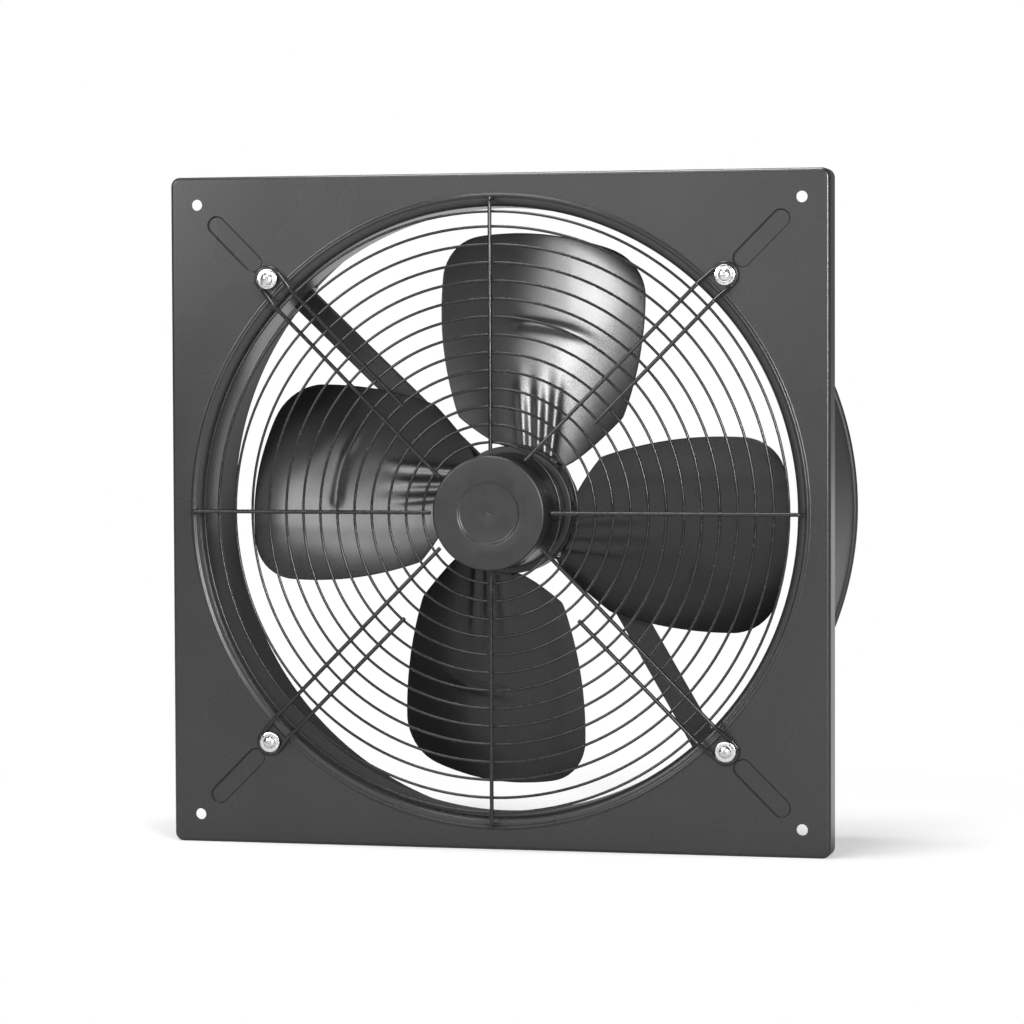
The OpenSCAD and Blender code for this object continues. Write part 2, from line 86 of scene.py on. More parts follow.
# Sizes and finishes

def length(name, description, default):
    return bpy.props.FloatProperty(name=name, description=description, default=default * MM,
                                   unit="LENGTH", min=0, precision=4)


def colour(name, description, default):
    return bpy.props.FloatVectorProperty(name=name, description=description, default=default,
                                         subtype="COLOR", size=3, min=0, max=1)


def share(name, description, default):
    return bpy.props.FloatProperty(name=name, description=description, default=default,
                                   subtype="FACTOR", min=0, max=1)


class FanPlateSizes(bpy.types.PropertyGroup):
    """Sizes of the wall plate, its bell mouth and the duct"""
    width: length("Width", "Width and height of the square plate", 600)
    fold: length("Fold", "Depth of the folded edge", 25)
    sheet: length("Sheet", "Thickness of the plate's sheet", 2)
    corner: length("Corner", "Radius of the plate's corners", 8)
    fold_edge: length("Fold edge", "Radius of the bend at the front edge", 3.5)
    wall_pitch: length("Wall hole pitch", "Distance between the wall bolt holes", 550)
    wall_hole: length("Wall hole", "Diameter of the wall bolt holes", 10)
    screw_pitch: length("Screw pitch", "Distance between the guard screws", 416)
    opening: length("Opening", "Radius at which the flat sheet ends and the bell begins", 292)
    throat: length("Throat", "Radius of the throat", 270.5)
    bead: length("Bead height", "Height of the bead pressed round the inlet", 1.5)
    duct: length("Duct radius", "Outer radius of the duct", 296)
    duct_end: length("Duct end", "Depth of the duct's rear rim behind the plate's face", 168)


class FanGuardSizes(bpy.types.PropertyGroup):
    """Sizes of the wire guard and its fasteners"""
    rings: bpy.props.IntProperty(name="Rings", description="Number of evenly spaced rings",
                                 default=13, min=3, max=13)
    first: length("First ring", "Radius of the smallest ring", 62.3)
    last: length("Last ring", "Radius of the largest evenly spaced ring", 252.3)
    edge: length("Edge ring", "Radius of the ring at the guard's edge", 265.5)
    ring_wire: length("Ring wire", "Diameter of the rings' wire", 2.5)
    spoke_wire: length("Spoke wire", "Diameter of the spokes' wire", 3.6)
    loop: length("Loop width", "Distance between a hairpin's two legs", 21)
    washer: length("Washer", "Radius of the screws' washers", 9.1)


class FanMotorSizes(bpy.types.PropertyGroup):
    """Sizes of the motor can and its hub"""
    can: length("Can radius", "Radius of the rotor can", 51)
    can_front: length("Can front", "How far the can stands out in front of the plate", 23)
    can_back: length("Can back", "Depth of the can's open end", 108)
    can_edge: length("Can edge", "Radius of the can's front edge", 2.6)
    hub: length("Hub radius", "Outer radius of the ring that carries the blades", 57.5)


class FanFinishes(bpy.types.PropertyGroup):
    """Colours and gloss of the painted and bare surfaces"""
    plate: colour("Plate", "Powder coat of the plate and duct", (0.0225, 0.022, 0.0225))
    plate_rough: share("Plate roughness", "Roughness of the powder coat", 0.27)
    guard: colour("Guard", "Coating of the guard's wire", (0.012, 0.012, 0.0125))
    guard_rough: share("Guard roughness", "Roughness of the guard's coating", 0.2)
    blade: colour("Blade", "Enamel of the blades", (0.010, 0.010, 0.0105))
    blade_rough: share("Blade roughness", "Roughness of the enamel", 0.24)
    arm: colour("Arm", "Paint of the motor arms", (0.012, 0.012, 0.0125))
    motor: colour("Motor", "Paint of the motor can and flange", (0.0195, 0.0195, 0.020))
    motor_rough: share("Motor roughness", "Roughness of the motor's paint", 0.33)
    zinc: colour("Zinc", "Bright zinc plate of the fasteners", (0.74, 0.75, 0.77))


class FanStage(bpy.types.PropertyGroup):
    """Camera and lights"""
    focal: bpy.props.FloatProperty(name="Focal length", description="Camera's focal length",
                                   default=131.06, unit="CAMERA", min=20)
    distance: bpy.props.FloatProperty(name="Distance", description="Camera's distance from the fan",
                                      default=3.3, unit="LENGTH", min=1)
    yaw: bpy.props.FloatProperty(name="Yaw", description="How far the camera stands to the right",
                                 default=radians(14), subtype="ANGLE")
    pitch: bpy.props.FloatProperty(name="Pitch", description="How far the camera looks down",
                                   default=radians(2.32), subtype="ANGLE")
    roll: bpy.props.FloatProperty(name="Roll", description="Camera's turn about its line of sight",
                                  default=radians(-0.22), subtype="ANGLE")
    floor: bpy.props.FloatProperty(name="Floor", description="Height of the floor",
                                   default=-0.3, unit="LENGTH")
    floor_glow: share("Floor glow", "How much white the camera adds to the floor", 0.4)
    ambient: share("Ambient", "Strength of the light from all round", 0.12)


GROUPS = {"fan_plate": FanPlateSizes, "fan_guard": FanGuardSizes, "fan_motor": FanMotorSizes,
          "fan_finish": FanFinishes, "fan_stage": FanStage}


# Modelling by operators

def deselect():
    if bpy.context.object and bpy.context.object.mode != "OBJECT":
        bpy.ops.object.mode_set(mode="OBJECT")
    for thing in bpy.context.view_layer.objects:
        thing.select_set(False)


def make_active(piece):
    deselect()
    piece.select_set(True)
    bpy.context.view_layer.objects.active = piece
    return piece


def begin(name, add, **settings):
    """Adds a primitive, names it and puts its place into its mesh."""
    deselect()
    add(**settings)
    piece = bpy.context.object
    piece.name = piece.data.name = name
    bpy.ops.object.transform_apply(location=True, rotation=True, scale=True)
    return piece


def edit(piece, kind="VERT"):
    make_active(piece)
    bpy.ops.object.mode_set(mode="EDIT")
    bpy.ops.mesh.select_mode(type=kind)
    bpy.ops.mesh.select_all(action="DESELECT")


def leave():
    bpy.ops.object.mode_set(mode="OBJECT")


def pick(kind, test):
    """Selects, in edit mode, the vertices, edges or faces that pass a test."""
    mesh = bpy.context.object.data
    bpy.ops.mesh.select_mode(type=kind)
    bpy.ops.mesh.select_all(action="DESELECT")
    shape = bmesh.from_edit_mesh(mesh)
    for part in {"VERT": shape.verts, "EDGE": shape.edges, "FACE": shape.faces}[kind]:
        if test(part):
            part.select_set(True)
    shape.select_flush_mode()
    bmesh.update_edit_mesh(mesh)


def push(value):
    bpy.ops.mesh.extrude_region_move(
        TRANSFORM_OT_translate={"value": value, "orient_type": "GLOBAL"})


def move(value):
    bpy.ops.transform.translate(value=value, orient_type="GLOBAL")


def clean(piece):
    """Merges doubles and turns every face outwards."""
    edit(piece)
    bpy.ops.mesh.select_all(action="SELECT")
    bpy.ops.mesh.remove_doubles(threshold=0.01 * MM)
    bpy.ops.mesh.normals_make_consistent(inside=False)
    leave()
    return piece


def modified(piece, kind, **settings):
    make_active(piece)
    bpy.ops.object.modifier_add(type=kind)
    modifier = piece.modifiers[-1]
    for name, value in settings.items():
        setattr(modifier, name, value)
    bpy.ops.object.modifier_apply(modifier=modifier.name)
    return piece


def smooth(piece, angle=40):
    make_active(piece)
    bpy.ops.object.shade_smooth_by_angle(angle=radians(angle))
    return piece


def softened(piece, width, segments=2, angle=35):
    """Rounds the sharp edges and keeps the flat faces flat in the shading."""
    modified(piece, "BEVEL", width=width, segments=segments, limit_method="ANGLE",
             angle_limit=radians(angle), harden_normals=False, miter_outer="MITER_ARC")
    make_active(piece)
    bpy.ops.object.shade_smooth()
    return modified(piece, "WEIGHTED_NORMAL", keep_sharp=True)


def cut(piece, *cutters, how="DIFFERENCE"):
    for cutter in cutters:
        modified(piece, "BOOLEAN", operation=how, object=cutter, solver="EXACT")
        bpy.data.objects.remove(cutter, do_unlink=True)
    return piece


def joined(name, pieces):
    deselect()
    for piece in pieces:
        piece.select_set(True)
    bpy.context.view_layer.objects.active = pieces[0]
    bpy.ops.object.join()
    piece = bpy.context.object
    piece.name = piece.data.name = name
    return piece


def copied(piece, name, matrix):
    make_active(piece)
    bpy.ops.object.duplicate(linked=False)
    twin = bpy.context.object
    twin.name = twin.data.name = name
    twin.data.transform(matrix)
    return twin


def turned_by(angle):
    """Turns anticlockwise about the fan's axis, as seen from the room."""
    return Matrix.Rotation(-radians(angle), 4, "Y")


def around(piece, name, angles):
    """The piece at each of these turns about the fan's axis, joined in one."""
    twins = [copied(piece, name, turned_by(a)) for a in angles]
    bpy.data.objects.remove(piece, do_unlink=True)
    return joined(name, twins)


def at_corners(piece, name, half):
    """Copies of a piece modelled on the fan's axis, one at each corner of a square."""
    twins = [copied(piece, name, Matrix.Translation((x * half, 0, z * half)))
             for x in (-1, 1) for z in (-1, 1)]
    bpy.data.objects.remove(piece, do_unlink=True)
    return joined(name, twins)


def drawn(name, points):
    """Draws an outline by extruding one vertex from point to point, in the XY plane."""
    piece = begin(name, bpy.ops.mesh.primitive_plane_add, size=MM)
    edit(piece)
    bpy.ops.mesh.select_all(action="SELECT")
    bpy.ops.mesh.merge(type="CENTER")
    bpy.ops.mesh.select_all(action="SELECT")
    move((points[0][0] * MM, points[0][1] * MM, 0))
    for before, after in zip(points, points[1:]):
        push(((after[0] - before[0]) * MM, (after[1] - before[1]) * MM, 0))
    return piece


def turned(name, points, steps=96, close=True):
    """Turns an outline, given as (radius, depth) in millimetres, about the fan's axis."""
    piece = drawn(name, points + points[:1] if close else points)
    bpy.ops.mesh.select_all(action="SELECT")
    bpy.ops.mesh.spin(steps=steps, angle=2 * pi, center=(0, 0, 0), axis=(0, 1, 0), dupli=False)
    leave()
    return clean(piece)


def arc(centre, radius, start, end, count):
    """Points of an arc in the (radius, depth) plane, from one angle to another."""
    return [(centre[0] + radius * cos(radians(start + (end - start) * i / count)),
             centre[1] + radius * sin(radians(start + (end - start) * i / count)))
            for i in range(count + 1)]


def eased(x):
    """0 below 0, 1 above 1, and a soft rise between."""
    x = max(0.0, min(1.0, x))
    return x * x * (3 - 2 * x)


def bent_wire(name, points, bends, thick):
    """A round wire that runs straight between points and bends with a radius at each inner one."""
    sides, steps_per_45 = 12, 6
    points = [Vector(p) * MM for p in points]
    first = (points[1] - points[0]).normalized()
    piece = begin(name, bpy.ops.mesh.primitive_circle_add, vertices=sides, radius=thick * MM / 2,
                  fill_type="NOTHING", location=points[0],
                  rotation=Vector((0, 0, 1)).rotation_difference(first).to_euler())
    edit(piece)
    bpy.ops.mesh.select_all(action="SELECT")
    here = points[0]
    for i in range(1, len(points)):
        way = (points[i] - points[i - 1]).normalized()
        if i == len(points) - 1:
            push(points[i] - here)
            break
        onward = (points[i + 1] - points[i]).normalized()
        angle = way.angle(onward)
        radius = bends[i - 1] * MM
        stop = points[i] - way * radius * tan(angle / 2)
        if (stop - here).length > 1e-6:
            push(stop - here)
        axis = way.cross(onward).normalized()
        centre = stop + axis.cross(way) * radius
        bpy.ops.mesh.spin(steps=max(2, round(steps_per_45 * degrees(angle) / 45)), angle=-angle,
                          center=centre, axis=axis, dupli=False)
        here = points[i] + onward * radius * tan(angle / 2)
    bpy.ops.mesh.select_all(action="SELECT")
    bpy.ops.mesh.fill_holes(sides=0)
    leave()
    return clean(piece)


def merged_copy(node, name, flat=5):
    """A copy of a CAD node with its doubles merged and its flat faces joined up."""
    source = NODES[node]
    twin = source.copy()
    twin.data = source.data.copy()
    twin.name = twin.data.name = name
    bpy.context.collection.objects.link(twin)
    twin.hide_render = twin.hide_viewport = False
    twin.parent = None
    twin.matrix_world = Matrix.Identity(4)
    twin.data.materials.clear()
    edit(twin)
    bpy.ops.mesh.select_all(action="SELECT")
    bpy.ops.mesh.remove_doubles(threshold=0.000005)
    if flat:
        bpy.ops.mesh.dissolve_limited(angle_limit=radians(flat))
    leave()
    return twin


def fitted(piece, body, slot, material, *nodes):
    """Gives a finished piece its material and body, and hides the CAD nodes that it stands for. The
    slot is not used.
    """
    piece.data.materials.clear()
    piece.data.materials.append(material)
    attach(piece, body)
    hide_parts(*nodes)
    return piece


# Finishes

class Finish:
    """Builds one material from plain nodes on Object coordinates, in metres."""

    def __init__(self, name, base, rough, metal=0.0):
        self.made = bpy.data.materials.new(name)
        self.made.use_nodes = True
        self.made.diffuse_color = (*base, 1)
        self.nodes, self.links = self.made.node_tree.nodes, self.made.node_tree.links
        self.shader = self.nodes["Principled BSDF"]
        self.set("Base Color", (*base, 1))
        self.set("Roughness", rough)
        self.set("Metallic", metal)
        self.base = base
        self.place = self.node("ShaderNodeTexCoord").outputs["Object"]
        self.height = None

    def node(self, kind, **settings):
        made = self.nodes.new(kind)
        for name, value in settings.items():
            setattr(made, name, value)
        return made

    def set(self, socket, value):
        self.shader.inputs[socket].default_value = value
        return self

    def math(self, how, first, second=0.0):
        made = self.node("ShaderNodeMath", operation=how)
        for socket, value in zip(made.inputs, (first, second)):
            if isinstance(value, (int, float)):
                socket.default_value = value
            else:
                self.links.new(value, socket)
        return made.outputs[0]

    def noise(self, size, detail=2.0, rough=0.5, stretch=None):
        """Noise whose features are about this many millimetres across."""
        made = self.node("ShaderNodeTexNoise")
        made.inputs["Scale"].default_value = 1 / (size * MM)
        made.inputs["Detail"].default_value = detail
        made.inputs["Roughness"].default_value = rough
        place = self.place
        if stretch:
            mapping = self.node("ShaderNodeMapping")
            mapping.inputs["Scale"].default_value = stretch
            self.links.new(place, mapping.inputs["Vector"])
            place = mapping.outputs[0]
        self.links.new(place, made.inputs["Vector"])
        return made.outputs[0]

    def spread(self, value, low, high, start=0.3, end=0.7):
        """Spreads what a pattern does between start and end softly over low to high."""
        made = self.node("ShaderNodeMapRange", interpolation_type="SMOOTHSTEP")
        for name, number in (("From Min", start), ("From Max", end),
                             ("To Min", low), ("To Max", high)):
            made.inputs[name].default_value = number
        self.links.new(value, made.inputs["Value"])
        return made.outputs["Result"]

    def tint(self, amount, colour):
        """Mixes another colour in by an amount that varies over the surface."""
        mix = self.node("ShaderNodeMix", data_type="RGBA")
        linked = self.shader.inputs["Base Color"].links
        if linked:
            self.links.new(linked[0].from_socket, mix.inputs["A"])
        else:
            mix.inputs["A"].default_value = (*self.base, 1)
        mix.inputs["B"].default_value = (*colour, 1)
        self.links.new(amount, mix.inputs["Factor"])
        self.links.new(mix.outputs["Result"], self.shader.inputs["Base Color"])
        return self

    def gloss(self, value):
        self.links.new(value, self.shader.inputs["Roughness"])
        return self

    def bump(self, value, depth):
        """Adds a bump of this many millimetres."""
        made = self.node("ShaderNodeBump")
        made.inputs["Distance"].default_value = depth * MM
        made.inputs["Strength"].default_value = 1.0
        self.links.new(value, made.inputs["Height"])
        if self.height is not None:
            self.links.new(self.height, made.inputs["Normal"])
        self.height = made.outputs["Normal"]
        self.links.new(self.height, self.shader.inputs["Normal"])
        return self

    def along(self, axis):
        """Place along one axis, in metres."""
        split = self.node("ShaderNodeSeparateXYZ")
        self.links.new(self.place, split.inputs[0])
        return split.outputs[axis]

    def distance(self, *axes):
        """Distance from the origin, measured over two axes."""
        places = [self.along(axis) for axis in axes]
        squares = [self.math("MULTIPLY", place, place) for place in places]
        return self.math("SQRT", self.math("ADD", *squares))


def times(base, factor):
    return tuple(min(1.0, channel * factor) for channel in base)


def powder_coat(name, base, rough):
    """Satin powder coat: faint clouds, a little dust and fine orange peel."""
    f = Finish(name, base, rough)
    f.tint(f.spread(f.noise(120, 3), 0.0, 0.6), times(base, 0.8))
    f.tint(f.spread(f.noise(38, 2, 0.5), 0.0, 0.4, 0.4, 0.8), times(base, 1.22))
    f.tint(f.spread(f.noise(1.9, 2), 0.0, 0.5, 0.25, 0.75), times(base, 1.6))
    f.gloss(f.spread(f.noise(90, 2, 0.5), rough - 0.02, rough + 0.03))
    f.bump(f.noise(1.7, 2, 0.5), 0.012)
    return f.made


def wire_coating(name, base, rough):
    """Semi-gloss dipped coating on wire, a little uneven along it."""
    f = Finish(name, base, rough)
    f.tint(f.spread(f.noise(14, 4), 0.0, 0.6), times(base, 1.5))
    f.gloss(f.spread(f.noise(6, 3), rough - 0.06, rough + 0.1))
    f.bump(f.noise(2.4, 3), 0.008)
    return f.made


def enamel(name, base, rough):
    """Sprayed enamel on pressed sheet: soft waves under a clear gloss."""
    f = Finish(name, base, rough)
    f.tint(f.spread(f.noise(70, 4), 0.0, 0.7), times(base, 1.35))
    f.gloss(f.spread(f.noise(90, 2), rough - 0.02, rough + 0.03))
    f.bump(f.noise(60, 1), 0.06).bump(f.noise(1.4, 2), 0.003)
    f.set("Specular IOR Level", 0.6)
    return f.made


def motor_paint(name, base, rough):
    """Satin grey paint over spun metal: faint turning marks round the axis."""
    f = Finish(name, base, rough)
    f.tint(f.spread(f.noise(24, 4), 0.0, 0.5), times(base, 0.82))
    f.tint(f.spread(f.noise(0.7, 2), 0.0, 0.3, 0.56, 0.74), times(base, 1.5))
    f.gloss(f.spread(f.noise(16, 4, 0.6), rough - 0.05, rough + 0.08))
    rings = f.node("ShaderNodeTexNoise", noise_dimensions="1D")
    rings.inputs["Scale"].default_value = 900
    rings.inputs["Detail"].default_value = 2
    f.links.new(f.distance("X", "Z"), rings.inputs["W"])
    f.bump(rings.outputs[0], 0.012).bump(f.noise(1.1, 2), 0.012)
    return f.made


def zinc_plate(name, base, rough=0.2):
    """Bright zinc plate with darker smudges and fine scratches."""
    f = Finish(name, base, rough, 1.0)
    f.tint(f.spread(f.noise(4.5, 4, 0.6), 0.0, 0.75, 0.5, 0.72), times(base, 0.45))
    f.tint(f.spread(f.noise(1.2, 3), 0.0, 0.3), (0.82, 0.80, 0.70))
    f.gloss(f.spread(f.noise(2.2, 4), rough - 0.06, rough + 0.16))
    f.bump(f.noise(0.5, 2, 0.5, (1, 1, 6)), 0.006)
    return f.made


def ground_steel(name, base, rough=0.22):
    """Ground bearing steel, with marks that run round the axis."""
    f = Finish(name, base, rough, 1.0)
    marks = f.node("ShaderNodeTexNoise", noise_dimensions="1D")
    marks.inputs["Scale"].default_value = 4000
    f.links.new(f.math("ADD", f.distance("X", "Z"), f.along("Y")), marks.inputs["W"])
    f.gloss(f.spread(marks.outputs[0], rough - 0.06, rough + 0.1))
    f.tint(f.spread(f.noise(5, 3), 0.0, 0.5), times(base, 0.8))
    f.bump(marks.outputs[0], 0.004)
    return f.made


def laminated_steel(name, base, rough=0.38):
    """Stacked sheets of core steel, half a millimetre each."""
    f = Finish(name, base, rough, 1.0)
    sheets = f.node("ShaderNodeTexWave", bands_direction="Y", wave_profile="SIN")
    sheets.inputs["Scale"].default_value = 320
    sheets.inputs["Distortion"].default_value = 0.15
    f.links.new(f.place, sheets.inputs["Vector"])
    f.tint(f.spread(sheets.outputs["Fac"], 0.0, 0.6, 0.2, 0.8), times(base, 0.55))
    f.gloss(f.spread(f.noise(6, 3), rough - 0.06, rough + 0.12))
    f.bump(sheets.outputs["Fac"], 0.06)
    return f.made


def copper_wire(name, base, rough=0.25):
    """Enamelled winding wire laid round the axis."""
    f = Finish(name, base, rough, 1.0)
    wires = f.node("ShaderNodeTexWave", bands_direction="Y", wave_profile="SIN")
    wires.inputs["Scale"].default_value = 230
    wires.inputs["Distortion"].default_value = 2.5
    wires.inputs["Detail"].default_value = 1
    f.links.new(f.place, wires.inputs["Vector"])
    f.set("Coat Weight", 0.6).set("Coat Roughness", 0.1)
    f.tint(f.spread(wires.outputs["Fac"], 0.0, 0.7, 0.1, 0.6), times(base, 0.4))
    f.gloss(f.spread(f.noise(3, 3), rough - 0.05, rough + 0.12))
    f.bump(wires.outputs["Fac"], 0.25)
    return f.made


def moulded_plastic(name, base, rough):
    """Moulded plastic with a fine spark-eroded grain."""
    f = Finish(name, base, rough)
    f.tint(f.spread(f.noise(9, 4), 0.0, 0.5), times(base, 1.35))
    f.gloss(f.spread(f.noise(4, 3), rough - 0.05, rough + 0.08))
    f.bump(f.noise(0.45, 2), 0.03)
    return f.made


_made = {}


def finish(name):
    """The material of this name, made when it is first asked for."""
    if not _made:
        paint = bpy.context.scene.fan_finish
        _made.update({
            "plate": powder_coat("satin_powder_coat", tuple(paint.plate), paint.plate_rough),
            "duct": powder_coat("duct_powder_coat", tuple(paint.plate), paint.plate_rough + 0.2),
            "guard": wire_coating("guard_wire_coating", tuple(paint.guard), paint.guard_rough),
            "blade": enamel("black_blade_enamel", tuple(paint.blade), paint.blade_rough),
            "arm": powder_coat("satin_arm_paint", tuple(paint.arm), 0.38),
            "motor": motor_paint("satin_motor_paint", tuple(paint.motor), paint.motor_rough),
            "zinc": zinc_plate("bright_zinc", tuple(paint.zinc)),
            "steel": ground_steel("ground_bearing_steel", (0.58, 0.58, 0.60)),
            "core": laminated_steel("laminated_core_steel", (0.32, 0.32, 0.34)),
            "copper": copper_wire("enamelled_copper", (0.62, 0.26, 0.11)),
            "plastic": moulded_plastic("black_moulded_plastic", (0.026, 0.026, 0.027), 0.5),
            "nylon": moulded_plastic("natural_nylon", (0.52, 0.45, 0.31), 0.42),
        })
    return _made[name]


# Pieces

def corner_slot(name, width, front, back, slope=0.0):
    """A round-ended bar along +X, as long as a recess, narrower towards its back by the slope."""
    start, end = SLOT_START * sqrt(2), SLOT_END * sqrt(2)
    piece = begin(name, bpy.ops.mesh.primitive_cylinder_add, vertices=48, radius=width / 2 * MM,
                  depth=(back - front) * MM, location=(start * MM, (front + back) / 2 * MM, 0),
                  rotation=(-pi / 2, 0, 0))
    edit(piece, "FACE")
    if slope:
        pick("FACE", lambda f: f.normal.y > 0.9)
        narrow = 1 - 2 * slope / width
        bpy.ops.transform.resize(value=(narrow, 1, narrow),
                                 center_override=(start * MM, back * MM, 0))
    pick("VERT", lambda v: v.co.x > start * MM + 1e-6)
    move(((end - start) * MM, 0, 0))
    leave()
    return piece


def bar(name, radius, front, back, vertices=48):
    """A round bar on the fan's axis, to cut with."""
    return begin(name, bpy.ops.mesh.primitive_cylinder_add, vertices=vertices, radius=radius * MM,
                 depth=(back - front) * MM, location=(0, (front + back) / 2 * MM, 0),
                 rotation=(-pi / 2, 0, 0))


class FAN_OT_wall_plate(bpy.types.Operator):
    """Folds the square plate, presses its recesses and cuts its holes"""
    bl_idname = "fan.wall_plate"
    bl_label = "Wall Plate"

    def execute(self, context):
        s = context.scene.fan_plate
        plate = begin("wall_plate", bpy.ops.mesh.primitive_cube_add, size=1,
                      scale=(s.width, s.fold, s.width), location=(0, s.fold / 2, 0))
        edit(plate, "EDGE")
        pick("EDGE", lambda e: abs(e.verts[0].co.y - e.verts[1].co.y) > s.fold / 2)
        bpy.ops.mesh.bevel(offset=s.corner, segments=8, affect="EDGES")
        pick("EDGE", lambda e: all(v.co.y < 1e-6 for v in e.verts) and
             any(abs(f.normal.y) < 0.5 for f in e.link_faces))
        bpy.ops.mesh.bevel(offset=s.fold_edge, segments=8, affect="EDGES")
        pick("FACE", lambda f: f.normal.y > 0.9)
        bpy.ops.mesh.delete(type="FACE")
        leave()
        modified(plate, "SOLIDIFY", thickness=s.sheet, offset=-1, use_even_offset=True)
        clean(plate)
        cut(plate, around(corner_slot("pads", 20, 1, 3.5, 0.8), "pads", DIAGONALS), how="UNION")
        cut(plate, around(corner_slot("recesses", 18.6, -1.0, 2.1, 2.1), "recesses", DIAGONALS))
        for name, radius, pitch in (("wall_holes", s.wall_hole / MM / 2, s.wall_pitch),
                                    ("screw_holes", M6_HOLE, s.screw_pitch)):
            cut(plate, at_corners(bar(name, radius, -5, 10), name, pitch / 2))
        softened(plate, 0.0007, 3, 35)
        cut(plate, bar("opening", s.opening / MM, -5, 30, vertices=256))
        modified(smooth(plate, 35), "WEIGHTED_NORMAL", keep_sharp=True)
        fitted(plate, "casing", "plate_paint", finish("plate"), "mounting_plate")
        return {"FINISHED"}


class FAN_OT_bell_mouth(bpy.types.Operator):
    """Turns the bell mouth: bead, rounded lip and throat with a rolled end"""
    bl_idname = "fan.bell_mouth"
    bl_label = "Bell Mouth"

    def execute(self, context):
        s = context.scene.fan_plate
        throat, bead, lip = s.throat / MM, s.bead / MM, 6.4
        bead_middle, bead_half = 280, 2.8
        outline = [(293, 0.03), (291.4, 0), (283.5, 0)]
        for i in range(9):
            x = -1 + i / 4
            outline.append((bead_middle - bead_half * x, -bead * cos(pi / 2 * x) ** 2))
        outline += arc((throat + lip, lip), lip, -90, -180, 10)
        outline += [(throat, 30), (throat, 46)]
        outline += arc((throat + 2.4, 48.6), 2.4, 180, -20, 10)
        outline += [(throat + 2.6, 46.6), (throat + 2, 45), (throat + 2, 30)]
        outline += arc((throat + lip, lip), lip - 2, -180, -90, 8)
        outline += [(293, 2)]
        bell = smooth(turned("bell_mouth", outline, 192), 50)
        fitted(bell, "casing", "plate_paint", finish("plate"), "mounting_plate")
        return {"FINISHED"}


def foot_places():
    """Where the bolts of the arms' feet go through the duct, pointing outwards along X."""
    return [turned_by(angle + degrees(asin(offset / DUCT_INSIDE)))
            @ Matrix.Translation((DUCT_INSIDE * MM, back * MM, 0))
            for angle, offset, _ in ARMS for back in FOOT_BOLTS]


class FAN_OT_duct(bpy.types.Operator):
    """Turns the duct with its front flange and rolled rim, and notches it round the guard nuts"""
    bl_idname = "fan.duct"
    bl_label = "Duct"

    def execute(self, context):
        s = context.scene.fan_plate
        outer, rim = s.duct / MM, s.duct_end / MM - 3
        outline = [(291.7, 2.05), (295, 2.05), (outer, 3.2), (outer, rim / 2)]
        outline += arc((outer + 0.5, rim), 3, -99.6, 213.6, 20)
        outline += [(outer - 2, rim / 2), (outer - 2, 5.2), (293.2, 4.05), (291.7, 4.05)]
        duct = turned("duct_ring", outline, 192)
        cut(duct, at_corners(bar("notches", 7.5, 0, 13), "notches", s.screw_pitch / 2))
        for place in foot_places():
            hole = begin("foot_hole", bpy.ops.mesh.primitive_cylinder_add, vertices=32,
                         radius=M6_HOLE * MM, depth=30 * MM, rotation=(0, pi / 2, 0))
            hole.data.transform(place)
            cut(duct, hole)
        smooth(duct, 35)
        fitted(duct, "casing", "plate_paint", finish("duct"), "duct_ring")
        return {"FINISHED"}


